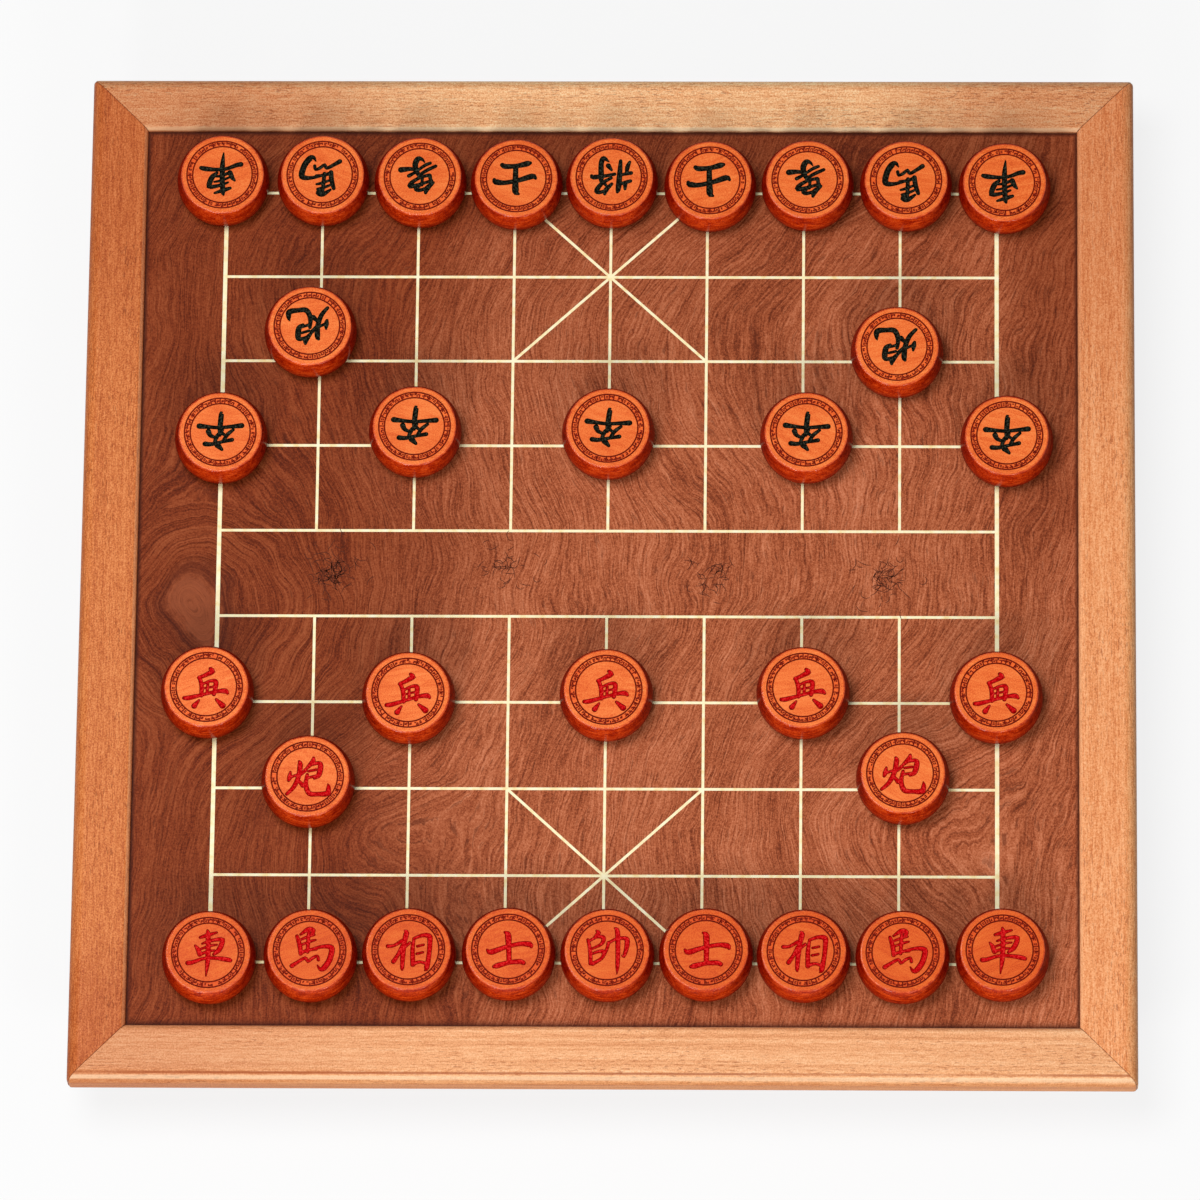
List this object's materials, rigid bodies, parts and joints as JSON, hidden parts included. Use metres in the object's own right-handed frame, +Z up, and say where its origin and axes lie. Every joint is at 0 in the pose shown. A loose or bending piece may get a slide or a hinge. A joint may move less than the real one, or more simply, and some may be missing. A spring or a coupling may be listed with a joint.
{
  "type": "chinese chess board box",
  "caption": "Framed board for Chinese chess with inlaid grid, playing pieces set out on it, and a low case below with a pull-out drawer on each side.",
  "frame": {"origin": "on the table, under the middle of the box", "axes": "+Z up, -Y towards the red player, +X to that player's right"},
  "size_m": [0.46, 0.46, 0.057],
  "materials": {
    "frame_wood": "satin lacquer",
    "panel_wood": "satin lacquer",
    "inlay_wood": "satin lacquer",
    "case_wood": "satin lacquer",
    "board_wood": "sanded, unlacquered",
    "felt": "felt",
    "piece_wood": "gloss lacquer"
  },
  "bodies": {
    "box": {"frame_near_rail": "frame_wood", "frame_far_rail": "frame_wood", "frame_left_rail": "frame_wood", "frame_right_rail": "frame_wood", "playing_panel": "panel_wood", "grid_inlay": "inlay_wood", "case_near_wall": "case_wood", "case_far_wall": "case_wood", "drawer_posts": "case_wood", "drawer_lintels": "case_wood", "drawer_sills": "case_wood", "case_base": "board_wood", "centre_divider": "case_wood", "drawer_guides": "board_wood", "felt_feet": "felt"},
    "left_drawer": {"left_drawer_front": "case_wood", "left_drawer_near_side": "board_wood", "left_drawer_far_side": "board_wood", "left_drawer_back": "board_wood", "left_drawer_bottom": "board_wood"},
    "right_drawer": {"right_drawer_front": "case_wood", "right_drawer_near_side": "board_wood", "right_drawer_far_side": "board_wood", "right_drawer_back": "board_wood", "right_drawer_bottom": "board_wood"},
    "black_chariot_left": {"black_chariot_left": "piece_wood"},
    "black_horse_left": {"black_horse_left": "piece_wood"},
    "black_elephant_left": {"black_elephant_left": "piece_wood"},
    "black_advisor_left": {"black_advisor_left": "piece_wood"},
    "black_general": {"black_general": "piece_wood"},
    "black_advisor_right": {"black_advisor_right": "piece_wood"},
    "black_elephant_right": {"black_elephant_right": "piece_wood"},
    "black_horse_right": {"black_horse_right": "piece_wood"},
    "black_chariot_right": {"black_chariot_right": "piece_wood"},
    "black_cannon_left": {"black_cannon_left": "piece_wood"},
    "black_cannon_right": {"black_cannon_right": "piece_wood"},
    "black_soldier_1": {"black_soldier_1": "piece_wood"},
    "black_soldier_2": {"black_soldier_2": "piece_wood"},
    "black_soldier_3": {"black_soldier_3": "piece_wood"},
    "black_soldier_4": {"black_soldier_4": "piece_wood"},
    "black_soldier_5": {"black_soldier_5": "piece_wood"},
    "red_soldier_1": {"red_soldier_1": "piece_wood"},
    "red_soldier_2": {"red_soldier_2": "piece_wood"},
    "red_soldier_3": {"red_soldier_3": "piece_wood"},
    "red_soldier_4": {"red_soldier_4": "piece_wood"},
    "red_soldier_5": {"red_soldier_5": "piece_wood"},
    "red_cannon_left": {"red_cannon_left": "piece_wood"},
    "red_cannon_right": {"red_cannon_right": "piece_wood"},
    "red_chariot_left": {"red_chariot_left": "piece_wood"},
    "red_horse_left": {"red_horse_left": "piece_wood"},
    "red_elephant_left": {"red_elephant_left": "piece_wood"},
    "red_advisor_left": {"red_advisor_left": "piece_wood"},
    "red_general": {"red_general": "piece_wood"},
    "red_advisor_right": {"red_advisor_right": "piece_wood"},
    "red_elephant_right": {"red_elephant_right": "piece_wood"},
    "red_horse_right": {"red_horse_right": "piece_wood"},
    "red_chariot_right": {"red_chariot_right": "piece_wood"}
  },
  "joints": [
    {"name": "left_drawer_slide", "type": "slide", "parent": "box", "child": "left_drawer", "axis": [-1, 0, 0], "range_m": [0, 0.19]},
    {"name": "right_drawer_slide", "type": "slide", "parent": "box", "child": "right_drawer", "axis": [1, 0, 0], "range_m": [0, 0.19]},
    {"name": "black_chariot_left_lift", "type": "slide", "parent": "box", "child": "black_chariot_left", "axis": [0, 0, 1], "range_m": [0, 0.06]},
    {"name": "black_horse_left_lift", "type": "slide", "parent": "box", "child": "black_horse_left", "axis": [0, 0, 1], "range_m": [0, 0.06]},
    {"name": "black_elephant_left_lift", "type": "slide", "parent": "box", "child": "black_elephant_left", "axis": [0, 0, 1], "range_m": [0, 0.06]},
    {"name": "black_advisor_left_lift", "type": "slide", "parent": "box", "child": "black_advisor_left", "axis": [0, 0, 1], "range_m": [0, 0.06]},
    {"name": "black_general_lift", "type": "slide", "parent": "box", "child": "black_general", "axis": [0, 0, 1], "range_m": [0, 0.06]},
    {"name": "black_advisor_right_lift", "type": "slide", "parent": "box", "child": "black_advisor_right", "axis": [0, 0, 1], "range_m": [0, 0.06]},
    {"name": "black_elephant_right_lift", "type": "slide", "parent": "box", "child": "black_elephant_right", "axis": [0, 0, 1], "range_m": [0, 0.06]},
    {"name": "black_horse_right_lift", "type": "slide", "parent": "box", "child": "black_horse_right", "axis": [0, 0, 1], "range_m": [0, 0.06]},
    {"name": "black_chariot_right_lift", "type": "slide", "parent": "box", "child": "black_chariot_right", "axis": [0, 0, 1], "range_m": [0, 0.06]},
    {"name": "black_cannon_left_lift", "type": "slide", "parent": "box", "child": "black_cannon_left", "axis": [0, 0, 1], "range_m": [0, 0.06]},
    {"name": "black_cannon_right_lift", "type": "slide", "parent": "box", "child": "black_cannon_right", "axis": [0, 0, 1], "range_m": [0, 0.06]},
    {"name": "black_soldier_1_lift", "type": "slide", "parent": "box", "child": "black_soldier_1", "axis": [0, 0, 1], "range_m": [0, 0.06]},
    {"name": "black_soldier_2_lift", "type": "slide", "parent": "box", "child": "black_soldier_2", "axis": [0, 0, 1], "range_m": [0, 0.06]},
    {"name": "black_soldier_3_lift", "type": "slide", "parent": "box", "child": "black_soldier_3", "axis": [0, 0, 1], "range_m": [0, 0.06]},
    {"name": "black_soldier_4_lift", "type": "slide", "parent": "box", "child": "black_soldier_4", "axis": [0, 0, 1], "range_m": [0, 0.06]},
    {"name": "black_soldier_5_lift", "type": "slide", "parent": "box", "child": "black_soldier_5", "axis": [0, 0, 1], "range_m": [0, 0.06]},
    {"name": "red_soldier_1_lift", "type": "slide", "parent": "box", "child": "red_soldier_1", "axis": [0, 0, 1], "range_m": [0, 0.06]},
    {"name": "red_soldier_2_lift", "type": "slide", "parent": "box", "child": "red_soldier_2", "axis": [0, 0, 1], "range_m": [0, 0.06]},
    {"name": "red_soldier_3_lift", "type": "slide", "parent": "box", "child": "red_soldier_3", "axis": [0, 0, 1], "range_m": [0, 0.06]},
    {"name": "red_soldier_4_lift", "type": "slide", "parent": "box", "child": "red_soldier_4", "axis": [0, 0, 1], "range_m": [0, 0.06]},
    {"name": "red_soldier_5_lift", "type": "slide", "parent": "box", "child": "red_soldier_5", "axis": [0, 0, 1], "range_m": [0, 0.06]},
    {"name": "red_cannon_left_lift", "type": "slide", "parent": "box", "child": "red_cannon_left", "axis": [0, 0, 1], "range_m": [0, 0.06]},
    {"name": "red_cannon_right_lift", "type": "slide", "parent": "box", "child": "red_cannon_right", "axis": [0, 0, 1], "range_m": [0, 0.06]},
    {"name": "red_chariot_left_lift", "type": "slide", "parent": "box", "child": "red_chariot_left", "axis": [0, 0, 1], "range_m": [0, 0.06]},
    {"name": "red_horse_left_lift", "type": "slide", "parent": "box", "child": "red_horse_left", "axis": [0, 0, 1], "range_m": [0, 0.06]},
    {"name": "red_elephant_left_lift", "type": "slide", "parent": "box", "child": "red_elephant_left", "axis": [0, 0, 1], "range_m": [0, 0.06]},
    {"name": "red_advisor_left_lift", "type": "slide", "parent": "box", "child": "red_advisor_left", "axis": [0, 0, 1], "range_m": [0, 0.06]},
    {"name": "red_general_lift", "type": "slide", "parent": "box", "child": "red_general", "axis": [0, 0, 1], "range_m": [0, 0.06]},
    {"name": "red_advisor_right_lift", "type": "slide", "parent": "box", "child": "red_advisor_right", "axis": [0, 0, 1], "range_m": [0, 0.06]},
    {"name": "red_elephant_right_lift", "type": "slide", "parent": "box", "child": "red_elephant_right", "axis": [0, 0, 1], "range_m": [0, 0.06]},
    {"name": "red_horse_right_lift", "type": "slide", "parent": "box", "child": "red_horse_right", "axis": [0, 0, 1], "range_m": [0, 0.06]},
    {"name": "red_chariot_right_lift", "type": "slide", "parent": "box", "child": "red_chariot_right", "axis": [0, 0, 1], "range_m": [0, 0.06]}
  ]
}
